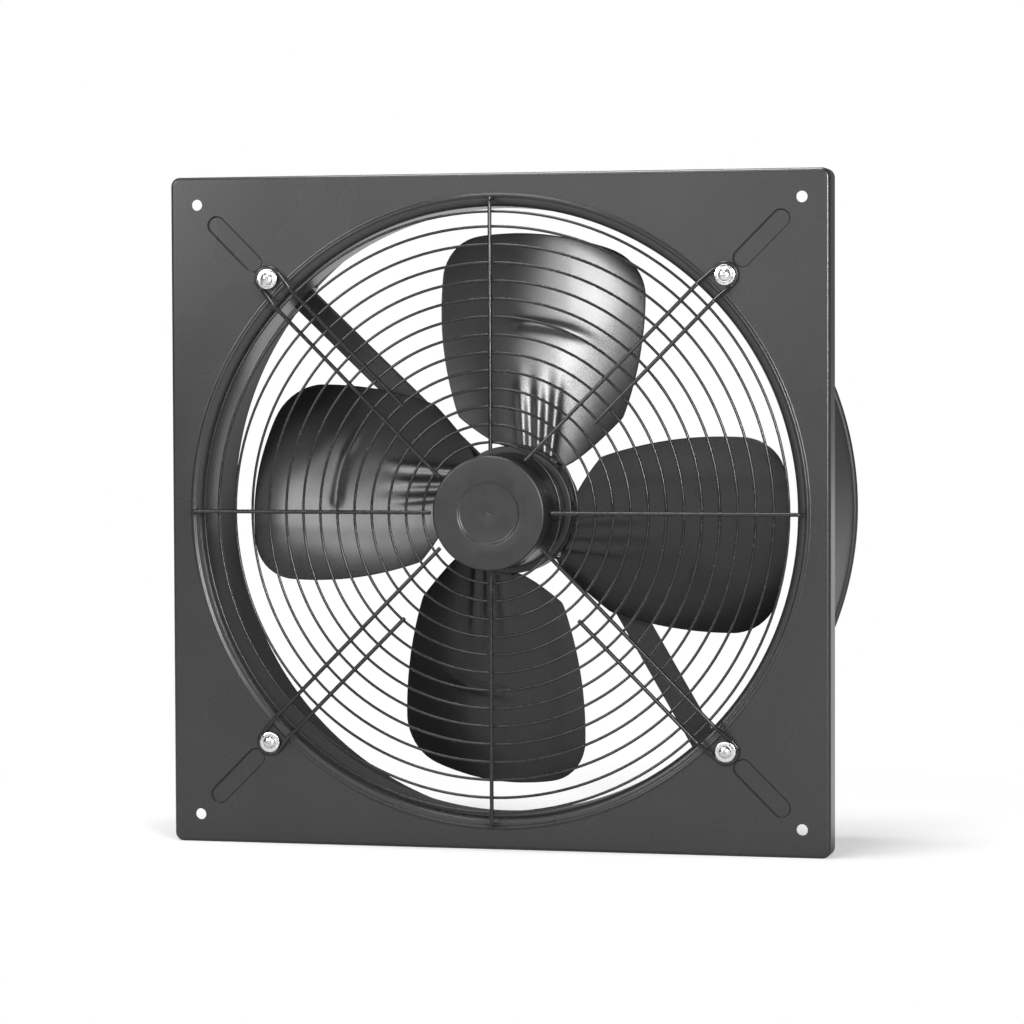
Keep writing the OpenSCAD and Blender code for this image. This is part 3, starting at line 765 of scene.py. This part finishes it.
class FAN_OT_guard(bpy.types.Operator):
    """Bends and welds the wire guard: rings, hooked spokes and corner hairpins"""
    bl_idname = "fan.guard"
    bl_label = "Wire Guard"

    # How far from the axis the wires end, and how far a hairpin's short leg
    INNER_END, SHORT_END = 55, 122.5

    def execute(self, context):
        s = context.scene.fan_guard
        step = (s.last - s.first) / (s.rings - 1)
        radii = [s.first + i * step for i in range(s.rings)] + [s.edge]
        wires = []
        for number, radius in enumerate(radii):
            ring = begin("guard_ring", bpy.ops.mesh.primitive_torus_add, major_radius=radius,
                         minor_radius=s.ring_wire / 2, major_segments=96 if number < 5 else 144,
                         minor_segments=10, location=(0, -RINGS_OUT * MM, 0),
                         rotation=(pi / 2, 0, 0))
            self.weld_bulge(ring, radius, 20 + 137 * number)
            wires.append(ring)
        wires.append(self.spokes(s, radii))
        wires += self.hairpins(s, radii)
        guard = smooth(joined("wire_guard", wires), 60)
        fitted(guard, "casing", "guard_coating", finish("guard"), "wire_guard")
        return {"FINISHED"}

    def weld_bulge(self, ring, radius, angle):
        """Swells a ring where its two ends were butt-welded."""
        place = turned_by(angle) @ Vector((radius, -RINGS_OUT * MM, 0))
        edit(ring)
        pick("VERT", lambda v: (v.co - place).length < 6.2 * MM)
        bpy.ops.transform.resize(value=(1.09, 1.14, 1.09), center_override=place)
        leave()

    def weld_spot(self, x, z):
        """A small nugget between a ring and the wire that crosses it."""
        return begin("weld_spot", bpy.ops.mesh.primitive_ico_sphere_add, subdivisions=2, radius=1,
                     location=(x * MM, (-RINGS_OUT - 1.0) * MM, z * MM),
                     scale=(1.75 * MM, 0.85 * MM, 1.6 * MM))

    def spokes(self, s, radii):
        """Four straight spokes with hooked ends that meet the plate."""
        y, hook = -SPOKES_OUT, 277
        spoke = bent_wire("guard_spoke", [(self.INNER_END, y, 0), (hook, y, 0), (hook, 0.4, 0)],
                          [4.2], s.spoke_wire / MM)
        spoke = joined("guard_spoke", [spoke] + [self.weld_spot(r / MM, 0) for r in radii])
        return around(spoke, "guard_spoke", QUARTERS)

    def hairpins(self, s, radii):
        """Four hairpins round the corner screws, each with one long and one short leg."""
        half = s.loop / MM / 2
        end = screw_circle() / MM + half
        front, back = -SPOKES_OUT, -(s.spoke_wire / MM / 2 + 0.1)
        made = []
        for angle in (-45, 45, 135, 225):
            short = 1 if angle == 225 else -1
            path = [(self.INNER_END, front, -short * half)]
            path += [(x, y, -short * half) for x, y in ((272, front), (291, back), (end, back))]
            path += [(x, y, short * half) for x, y in ((end, back), (291, back), (272, front))]
            path.append((self.SHORT_END, front, short * half))
            loop = bent_wire("guard_loop", path, [6, 5, half - 0.001, half - 0.001, 5, 6],
                             s.spoke_wire / MM)
            spots = []
            for r in radii:
                across = sqrt((r / MM) ** 2 - half ** 2)
                for side in (-1, 1):
                    if side != short or across > self.SHORT_END:
                        spots.append(self.weld_spot(across, side * half))
            loop = joined("guard_loop", [loop] + spots)
            loop.data.transform(turned_by(angle))
            made.append(loop)
        return made


def screw_circle():
    """Distance of the guard screws from the fan's axis."""
    return bpy.context.scene.fan_plate.screw_pitch / 2 * sqrt(2)


def thread(front, back):
    """Outline of a threaded M6 shank, from its front to its back end."""
    points = []
    y = front
    while y < back - M6_PITCH * 0.9:
        points += [(M6 - 0.05, y), (M6 - 0.55, y + M6_PITCH / 2)]
        y += M6_PITCH
    return points + [(M6 - 0.3, y), (M6 - 0.9, back)]


def hexagon(name, front, back, bore=0.0):
    """An M6 nut or bolt head with chamfered corners, its faces square to the fan's axis."""
    flat, corner = M6_FLATS / 2, M6_FLATS / sqrt(3)
    nut = begin(name, bpy.ops.mesh.primitive_cylinder_add, vertices=6, radius=corner * MM,
                depth=(back - front) * MM, location=(0, (front + back) / 2 * MM, 0),
                rotation=(-pi / 2, 0, 0))
    corner += 0.2
    rise = (corner - flat) * 0.58
    form = [(0, front), (flat - 0.15, front), (corner, front + rise), (corner, back - rise),
            (flat - 0.15, back), (0, back)]
    cut(nut, turned("nut_form", form, 48, close=False), how="INTERSECT")
    if bore:
        wide = bore + 0.6
        hole = [(0, front - 1), (wide, front - 1), (wide, front), (bore, front + 0.6),
                (bore, back - 0.6), (wide, back), (wide, back + 1), (0, back + 1)]
        cut(nut, turned("nut_hole", hole, 48, close=False))
    return smooth(nut, 25)


class FAN_OT_guard_fasteners(bpy.types.Operator):
    """Models the guard's pan-head screws, washers and nuts at the four corners"""
    bl_idname = "fan.guard_fasteners"
    bl_label = "Guard Fasteners"

    def execute(self, context):
        s, guard = context.scene.fan_plate, context.scene.fan_guard
        half, r = s.screw_pitch / 2, guard.washer / MM
        shoulder = guard.loop / MM / 2 - r
        wire = guard.spoke_wire / MM / 2
        back = wire + 0.1 + sqrt(wire ** 2 - shoulder ** 2) + 0.05
        seat = back + 1.6
        ring = [(3.2, -back - 0.1), (3.2, -seat + 0.1), (3.5, -seat), (r - 0.5, -seat),
                (r - 0.12, -seat + 0.16), (r, -seat + 0.5), (r, -back - 0.35), (r - 0.3, -back),
                (3.3, -back)]
        for name, piece in (("guard_screws", self.screw(seat)),
                            ("guard_washers", smooth(turned("washer", ring, 64), 30)),
                            ("guard_nuts", hexagon("nut", 2.02, 7, M6_BORE))):
            fitted(at_corners(piece, name, half), "casing", "zinc", finish("zinc"), name)
        return {"FINISHED"}

    def screw(self, seat):
        """A pan-head screw with a cross recess, its head's seat this far in front of the plate."""
        dome, dome_back = 8.2, 4.2
        head = [(0, -seat - 4.0)]
        head += [(r, -seat + dome_back - sqrt(dome ** 2 - r * r))
                 for r in (1.2, 2.4, 3.5, 4.4, 5.0, 5.35)]
        head += [(5.55, -seat - 1.6), (5.6, -seat - 1.3), (5.6, -seat - 0.25), (5.4, -seat),
                 (2.95, -seat)]
        head += thread(-seat + 1, 11) + [(0, 11)]
        screw = turned("screw", head, 48, close=False)
        for angle in (0, 90):
            blade = begin("cross", bpy.ops.mesh.primitive_cube_add, size=1,
                          scale=(6.2 * MM, 4 * MM, 1.25 * MM), location=(0, (-seat - 3.6) * MM, 0))
            edit(blade, "FACE")
            pick("FACE", lambda f: f.normal.y > 0.9)
            bpy.ops.transform.resize(value=(0.3, 1, 0.6), center_override=(0, 0, 0))
            leave()
            blade.data.transform(turned_by(angle + 20))
            cut(screw, blade)
        return smooth(screw, 32)


class FAN_OT_motor_arms(bpy.types.Operator):
    """Softens the folded motor arms and their feet"""
    bl_idname = "fan.motor_arms"
    bl_label = "Motor Arms"

    def execute(self, context):
        for name in ("upper_arm", "lower_arm"):
            arm = softened(merged_copy(name, "motor_" + name), 0.0006, 2, 30)
            fitted(arm, "casing", "arm_paint", finish("arm"), name)
        return {"FINISHED"}


class FAN_OT_arm_fasteners(bpy.types.Operator):
    """Models the hexagon bolts and nuts of the arms' feet and of the motor flange"""
    bl_idname = "fan.arm_fasteners"
    bl_label = "Arm Fasteners"

    def execute(self, context):
        bolts, nuts, motor_bolts = [], [], []
        for place in foot_places():
            outwards = place @ Matrix.Rotation(pi / 2, 4, "Z")
            bolts.append(self.bolt(2.6, 6.8, -10, outwards))
            nut = hexagon("nut", 2.1, 7.1, M6_BORE)
            nut.data.transform(outwards @ Matrix.Rotation(pi, 4, "Z"))
            nuts.append(nut)
        for angle, offset, across in ARMS:
            for x in across:
                place = turned_by(angle) @ Matrix.Translation((x * MM, 126.5 * MM, offset * MM))
                motor_bolts.append(self.bolt(0.02, 4, -11.5, place))
        for name, pieces in (("arm_bolts", bolts), ("arm_nuts", nuts),
                             ("motor_bolts", motor_bolts)):
            fitted(joined(name, pieces), "casing", "zinc", finish("zinc"), name)
        return {"FINISHED"}

    def bolt(self, seat, top, end, place):
        """A hexagon bolt along +Y from the end of its thread to the top of its head."""
        head = hexagon("bolt", seat, top)
        outline = [(0, seat + 0.5), (M6, seat + 0.5)]
        outline += [(r, 2 * seat - y) for r, y in thread(seat + 0.5, 2 * seat - end)]
        shank = smooth(turned("shank", outline + [(0, end)], 32, close=False), 30)
        bolt = joined("bolt", [head, shank])
        bolt.data.transform(place)
        return bolt


class FAN_OT_rotor_can(bpy.types.Operator):
    """Turns the deep-drawn motor can with its recess, centre dimple and shaft boss"""
    bl_idname = "fan.rotor_can"
    bl_label = "Rotor Can"

    def execute(self, context):
        s = context.scene.fan_motor
        r, edge = s.can / MM, s.can_edge / MM
        front, back = -s.can_front / MM, s.can_back / MM
        floor = front + 1.5
        outline = [(0, floor + 0.4), (0.6, floor + 0.36), (1.1, floor + 0.22), (1.5, floor + 0.06),
                   (1.9, floor), (14, floor), (25.4, floor), (26.1, floor - 0.08),
                   (26.8, floor - 0.4), (27.5, floor - 0.95), (28.1, floor - 1.35), (28.9, front),
                   (38, front)]
        outline += arc((r - edge, front + edge), edge, -90, 0, 8)
        outline += [(r, front + 8.2), (r - 0.15, front + 8.5), (r - 0.55, front + 8.8),
                    (r - 0.55, front + 9.4), (r - 0.15, front + 9.7), (r, front + 10), (r, 20),
                    (r, back - 0.6), (r - 0.5, back), (r - 2.6, back), (r - 3, back - 0.5),
                    (r - 3, -10), (r - 3, front + 4.6), (r - 3.6, front + 4), (14, front + 4),
                    (13, front + 5), (13, -5.8), (12.4, -5.2), (7.9, -5.2), (7.5, -5.6),
                    (7.5, -17.4), (0, -17.4)]
        can = smooth(turned("rotor_can", outline, 128, close=False), 32)
        fitted(can, "rotor", "motor_paint", finish("motor"), "rotor_can")
        return {"FINISHED"}


class FAN_OT_blade_hub(bpy.types.Operator):
    """Turns the hub ring, and rounds the feet and rivets that hold the blades to it"""
    bl_idname = "fan.blade_hub"
    bl_label = "Blade Hub"

    def execute(self, context):
        s = context.scene.fan_motor
        inner, outer = s.can / MM + 0.02, s.hub / MM
        outline = [(inner, 56.4), (inner + 0.4, 56)] + arc((outer - 1.6, 57.6), 1.6, -90, 0, 4)
        outline += [(outer, 66), (outer - 0.5, 66.4), (outer - 0.5, 73.6), (outer, 74)]
        outline += arc((outer - 1.6, 82.4), 1.6, 0, 90, 4) + [(inner + 0.4, 84), (inner, 83.6)]
        hub = smooth(turned("hub_ring", outline, 128), 35)
        fitted(hub, "rotor", "motor_paint", finish("motor"), "hub_ring")
        feet = softened(merged_copy("blade_feet", "blade_feet_pressed", 1), 0.0004, 2, 50)
        fitted(feet, "rotor", "blade_paint", finish("blade"), "blade_feet")
        dome = [(0, 4.3), (1.6, 4.15), (2.9, 3.6), (3.8, 2.7), (4.0, 2.3), (3.9, 2.15), (2.5, 2.15),
                (2.5, -4), (0, -4)]
        rivet = smooth(turned("rivet", dome, 24, close=False), 40)
        outwards = Matrix.Rotation(-pi / 2, 4, "Z")
        rivets = [copied(rivet, "rivet", turned_by(turn + angle)
                         @ Matrix.Translation((57.5 * MM, back * MM, 0)) @ outwards)
                  for turn in QUARTERS for angle, back in ((83, 78), (49, 62))]
        bpy.data.objects.remove(rivet, do_unlink=True)
        fitted(joined("blade_rivets", rivets), "rotor", "zinc", finish("zinc"), "blade_rivets")
        return {"FINISHED"}


class FAN_OT_blades(bpy.types.Operator):
    """Rounds the rims of the four pressed blades and smooths their flutes and bead"""
    bl_idname = "fan.blades"
    bl_label = "Blades"

    # The bead: its distance from the axis, where it starts and ends across the blade, and how
    # long its ends fade. A ridge of this height and width takes the place of the CAD's groove.
    BEAD_AT, BEAD_START, BEAD_END, BEAD_FADE = 168, -5, 70, 14
    GROOVE_DEPTH, GROOVE_WIDTH, RIDGE_HEIGHT, RIDGE_WIDTH = 2.5, 4.5, 1.6, 5.5
    # The blade's middle line, and its half width at the widest place and how fast that shrinks
    MIDDLE, HALF_WIDTH, WIDEST_AT, SHRINK = 23.4, 89.5, 190, 0.0016
    # The flutes' share of the half width, how much they are lowered, and where they fade out
    FLUTED, FLUTE_LOSS, FLUTES_END, FLUTES_FADE = 0.3, 1.5, 92, 36

    def execute(self, context):
        blade = merged_copy("blade_1", "blade_pressed", 0)
        edit(blade)
        bpy.ops.mesh.select_all(action="SELECT")
        bpy.ops.mesh.tris_convert_to_quads(face_threshold=radians(60), shape_threshold=radians(60))
        leave()
        self.press(blade)
        modified(blade, "BEVEL", width=0.0005, segments=2, limit_method="ANGLE",
                 angle_limit=radians(60))
        modified(blade, "SUBSURF", levels=1, render_levels=1)
        smooth(blade, 60)
        for number in range(4):
            twin = copied(blade, "fan_blade_%d" % (number + 1), turned_by(-90 * number))
            fitted(twin, "rotor", "blade_paint", finish("blade"), "blade_%d" % (number + 1))
        bpy.data.objects.remove(blade, do_unlink=True)
        return {"FINISHED"}

    def press(self, blade):
        """Raises the bead towards the room and softens the flutes at the root."""
        for vertex in blade.data.vertices:
            across, up = vertex.co.x / MM, vertex.co.z / MM
            off = hypot(across, up) - self.BEAD_AT
            ends = (eased((across - self.BEAD_START) / self.BEAD_FADE)
                    * eased((self.BEAD_END - across) / self.BEAD_FADE))
            raised = (self.GROOVE_DEPTH * exp(-(off / self.GROOVE_WIDTH) ** 2)
                      + self.RIDGE_HEIGHT * exp(-(off / self.RIDGE_WIDTH) ** 2))
            half = self.HALF_WIDTH - self.SHRINK * (up - self.WIDEST_AT) ** 2
            from_middle = (across - self.MIDDLE) / half
            flute = 0.0
            if abs(from_middle) < self.FLUTED:
                flute = ((1 + cos(3 * pi * from_middle / self.FLUTED)) / 2
                         * (1 - eased((up - self.FLUTES_END) / self.FLUTES_FADE)))
            vertex.co.y += MM * (self.FLUTE_LOSS * flute - ends * raised)


class FAN_OT_motor_rear(bpy.types.Operator):
    """Softens the stator flange, rear cap and cable gland behind the motor"""
    bl_idname = "fan.motor_rear"
    bl_label = "Motor Rear"

    def execute(self, context):
        for node, body, slot, material, width in (
                ("stator_flange", "casing", "motor_paint", "motor", 0.0007),
                ("rear_cap", "casing", "black_plastic", "plastic", 0.0004),
                ("cable_gland", "casing", "black_plastic", "plastic", 0.0003),
                ("gland_nut", "casing", "black_plastic", "plastic", 0.0003)):
            piece = softened(merged_copy(node, node + "_finished", 1), width, 2, 40)
            fitted(piece, body, slot, finish(material), node)
        return {"FINISHED"}


class FAN_OT_inner_parts(bpy.types.Operator):
    """Finishes the bearings, shaft, core and windings inside the motor"""
    bl_idname = "fan.inner_parts"
    bl_label = "Inner Parts"

    FINISHES = {
        "core": ("stator_core", "rotor_cage"),
        "copper": ("stator_windings",),
        "steel": ("shaft", "shaft_circlip", "front_bearing_outer", "rear_bearing_outer",
                  "front_bearing_inner", "rear_bearing_inner", "front_bearing_balls",
                  "rear_bearing_balls"),
        "nylon": ("front_bearing_cage", "rear_bearing_cage"),
    }

    def execute(self, context):
        for material, names in self.FINISHES.items():
            for name in names:
                NODES[name].data.materials.clear()
                NODES[name].data.materials.append(finish(material))
        return {"FINISHED"}


class FAN_OT_stage(bpy.types.Operator):
    """Lays the floor, hangs the lights and sets the camera"""
    bl_idname = "fan.stage"
    bl_label = "Stage"

    # Each lamp's name, place, aim, size in metres and power in watts
    LAMPS = (
        ("key_light", (-1.42, -2.05, 0.74), (0, 0, 0.05), 0.75, 20),
        ("high_light", (-1.59, -1.59, 1.30), (0, 0, 0), 0.65, 9),
        ("brow_light", (-0.35, -1.70, 1.75), (0, 0, 0), 0.6, 9),
        ("side_light", (1.34, -2.19, 0.42), (0, 0, 0.1), 0.55, 42),
        ("side_fill", (1.00, -2.28, 0.76), (0, 0, 0.1), 0.7, 18),
        ("front_light", (-0.42, -2.52, 0.42), (0, 0, 0), 0.75, 4),
        ("top_light", (-0.12, 0.05, 1.50), (0, 0.05, 0), 0.8, 27),
    )

    # Distances from the fan's axis between which the floor turns plain white, and how far behind
    # the plate mirrors begin to see it as white
    WHITE_FROM, WHITE_AT, BEHIND = 0.46, 0.78, 0.3
    # How much white mirrors see in the world behind the fan, and how fast it comes and goes
    BACK_GLOW, BACK_RISE, BACK_FALL = 0.12, 2.5, 1.6
    # Where the fan's axis stands in the picture, in pixels from its left side, and the width
    AXIS_AT, PICTURE = 494.33, 1024

    def execute(self, context):
        s = context.scene.fan_stage
        self.floor(s)
        self.world(context.scene, s)
        self.lights()
        self.camera(context.scene, s)
        context.scene.view_settings.view_transform = "Standard"
        return {"FINISHED"}

    def floor(self, s):
        """A pale floor that keeps the fan's shadow and turns plain white further out."""
        floor = begin("floor", bpy.ops.mesh.primitive_circle_add, vertices=96, radius=9,
                      fill_type="NGON", location=(0, 3, s.floor))
        edit(floor, "FACE")
        bpy.ops.mesh.select_all(action="SELECT")
        bpy.ops.mesh.inset(thickness=7.6)
        leave()
        pale = Finish("pale_floor", (0.6, 0.6, 0.6), 0.9)
        pale.set("Specular IOR Level", 0.0)
        seen = self.seen(pale, pale.spread(pale.along("Y"), 0.0, 1.0, 0.0, self.BEHIND))
        near = pale.node("ShaderNodeEmission")
        pale.links.new(pale.math("MULTIPLY", seen, s.floor_glow), near.inputs["Strength"])
        added = pale.node("ShaderNodeAddShader")
        pale.links.new(pale.shader.outputs[0], added.inputs[0])
        pale.links.new(near.outputs[0], added.inputs[1])
        away = pale.spread(pale.distance("X", "Y"), 0.0, 1.0, self.WHITE_FROM, self.WHITE_AT)
        far = pale.math("MULTIPLY", away, seen)
        white = pale.node("ShaderNodeEmission")
        mix = pale.node("ShaderNodeMixShader")
        for link in ((far, mix.inputs[0]), (added.outputs[0], mix.inputs[1]),
                     (white.outputs[0], mix.inputs[2]),
                     (mix.outputs[0], pale.nodes["Material Output"].inputs["Surface"])):
            pale.links.new(*link)
        floor.data.materials.append(pale.made)

    def seen(self, owner, behind):
        """1 for rays from the camera and through glass, and for mirrors behind the fan."""
        path = owner.node("ShaderNodeLightPath")
        mirrored = owner.math("MULTIPLY", path.outputs["Is Glossy Ray"], behind)
        straight = owner.math("MAXIMUM", path.outputs["Is Camera Ray"], mirrored)
        return owner.math("MAXIMUM", straight, path.outputs["Is Transmission Ray"])

    def world(self, scene, s):
        """Soft light from all round, which the camera sees as white."""
        world = scene.world or bpy.data.worlds.new("studio")
        scene.world = world
        world.use_nodes = True
        nodes, links = world.node_tree.nodes, world.node_tree.links
        nodes.clear()

        def worked(how, first, second):
            made = nodes.new("ShaderNodeMath")
            made.operation, made.use_clamp = how, True
            for socket, value in zip(made.inputs, (first, second)):
                if isinstance(value, float):
                    socket.default_value = value
                else:
                    links.new(value, socket)
            return made.outputs[0]

        path = nodes.new("ShaderNodeLightPath")
        split = nodes.new("ShaderNodeSeparateXYZ")
        links.new(nodes.new("ShaderNodeTexCoord").outputs["Generated"], split.inputs[0])
        behind = worked("MULTIPLY", split.outputs["Y"], self.BACK_RISE)
        low = worked("SUBTRACT", 1.0, worked("MULTIPLY", split.outputs["Z"], self.BACK_FALL))
        glow = worked("MULTIPLY", worked("MULTIPLY", behind, low), self.BACK_GLOW)
        mirrored = worked("MULTIPLY", path.outputs["Is Glossy Ray"], glow)
        seen = worked("MAXIMUM", worked("MAXIMUM", path.outputs["Is Camera Ray"],
                                        path.outputs["Is Transmission Ray"]), mirrored)
        strength = nodes.new("ShaderNodeMapRange")
        strength.inputs["To Min"].default_value = s.ambient
        strength.inputs["To Max"].default_value = 1.0
        links.new(seen, strength.inputs["Value"])
        background = nodes.new("ShaderNodeBackground")
        background.inputs["Color"].default_value = (1, 1, 1, 1)
        links.new(strength.outputs["Result"], background.inputs["Strength"])
        links.new(background.outputs[0], nodes.new("ShaderNodeOutputWorld").inputs["Surface"])

    def lights(self):
        """Square lamps that the camera doesn't see."""
        for name, place, aim, size, power in self.LAMPS:
            lamp = bpy.data.lights.new(name, "AREA")
            lamp.shape, lamp.size, lamp.energy = "SQUARE", size, power
            thing = bpy.data.objects.new(name, lamp)
            bpy.context.collection.objects.link(thing)
            thing.location = place
            thing.rotation_euler = (Vector(aim) - Vector(place)).to_track_quat("-Z", "Y").to_euler()
            thing.visible_camera = False

    def camera(self, scene, s):
        """A camera that looks at the middle of the plate, which stands a little off centre."""
        ahead = Vector((-sin(s.yaw) * cos(s.pitch), cos(s.yaw) * cos(s.pitch), -sin(s.pitch)))
        right = Vector((cos(s.yaw), sin(s.yaw), 0))
        up = right.cross(ahead)
        right, up = cos(s.roll) * right + sin(s.roll) * up, cos(s.roll) * up - sin(s.roll) * right
        lens = bpy.data.cameras.new("camera")
        lens.lens, lens.sensor_width, lens.sensor_fit = s.focal, 36, "HORIZONTAL"
        lens.shift_x, lens.shift_y = 0.5 - self.AXIS_AT / self.PICTURE, 0.00036
        lens.clip_start, lens.clip_end = 0.1, 60
        camera = bpy.data.objects.new("camera", lens)
        bpy.context.collection.objects.link(camera)
        camera.matrix_world = Matrix((
            (right.x, up.x, -ahead.x, -s.distance * ahead.x),
            (right.y, up.y, -ahead.y, -s.distance * ahead.y),
            (right.z, up.z, -ahead.z, -s.distance * ahead.z),
            (0, 0, 0, 1)))
        scene.camera = camera


# Panel and registration

OPERATORS = (
    FAN_OT_wall_plate, FAN_OT_bell_mouth, FAN_OT_duct, FAN_OT_guard, FAN_OT_guard_fasteners,
    FAN_OT_motor_arms, FAN_OT_arm_fasteners, FAN_OT_rotor_can, FAN_OT_blade_hub, FAN_OT_blades,
    FAN_OT_motor_rear, FAN_OT_inner_parts, FAN_OT_stage,
)


class FAN_PT_sidebar(bpy.types.Panel):
    """Lists the fan's pieces in the order in which they are made"""
    bl_idname = "FAN_PT_sidebar"
    bl_label = "Exhaust Fan"
    bl_space_type = "VIEW_3D"
    bl_region_type = "UI"
    bl_category = "Exhaust Fan"

    def draw(self, context):
        for name in GROUPS:
            group = getattr(context.scene, name)
            box = self.layout.box()
            for field in group.bl_rna.properties:
                if field.identifier not in {"rna_type", "name"}:
                    box.prop(group, field.identifier)
        for operator in OPERATORS:
            self.layout.operator(operator.bl_idname)


def register():
    for made in (*GROUPS.values(), *OPERATORS, FAN_PT_sidebar):
        bpy.utils.register_class(made)
    for name, group in GROUPS.items():
        setattr(bpy.types.Scene, name, bpy.props.PointerProperty(type=group))


def unregister():
    for name in GROUPS:
        delattr(bpy.types.Scene, name)
    for made in reversed((*GROUPS.values(), *OPERATORS, FAN_PT_sidebar)):
        bpy.utils.unregister_class(made)


def main():
    register()
    for operator in OPERATORS:
        family, name = operator.bl_idname.split(".")
        getattr(getattr(bpy.ops, family), name)()


if __name__ == "__main__":
    main()
